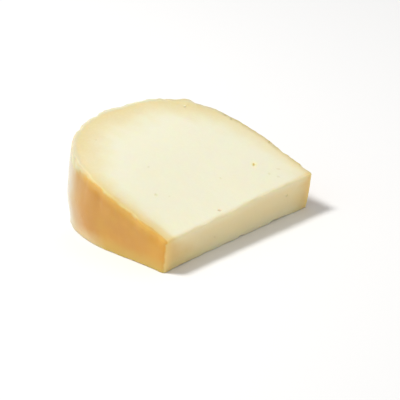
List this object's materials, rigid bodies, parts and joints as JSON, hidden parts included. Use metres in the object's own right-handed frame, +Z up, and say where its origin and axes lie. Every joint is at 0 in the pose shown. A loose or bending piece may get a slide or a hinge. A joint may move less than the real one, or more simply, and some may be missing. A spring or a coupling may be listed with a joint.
{
  "type": "aged goat cheese wedge",
  "caption": "Wedge of firm aged goat cheese with a thin golden rind, its thin tip cut off, lying flat on one cut face.",
  "frame": {"origin": "on the ground under the middle of the wedge's box", "axes": "+Z up from the cut face that it rests on; the flat rinds of the wheel face -X and +X, the rounded rim faces +Y and the short cut end faces -Y"},
  "size_m": [0.0962, 0.0846, 0.041],
  "materials": {
    "goat_cheese": "satin ivory paste that turns yellow towards a thin waxy golden rind"
  },
  "bodies": {
    "root": {"cheese_wedge": "goat_cheese"}
  },
  "joints": []
}
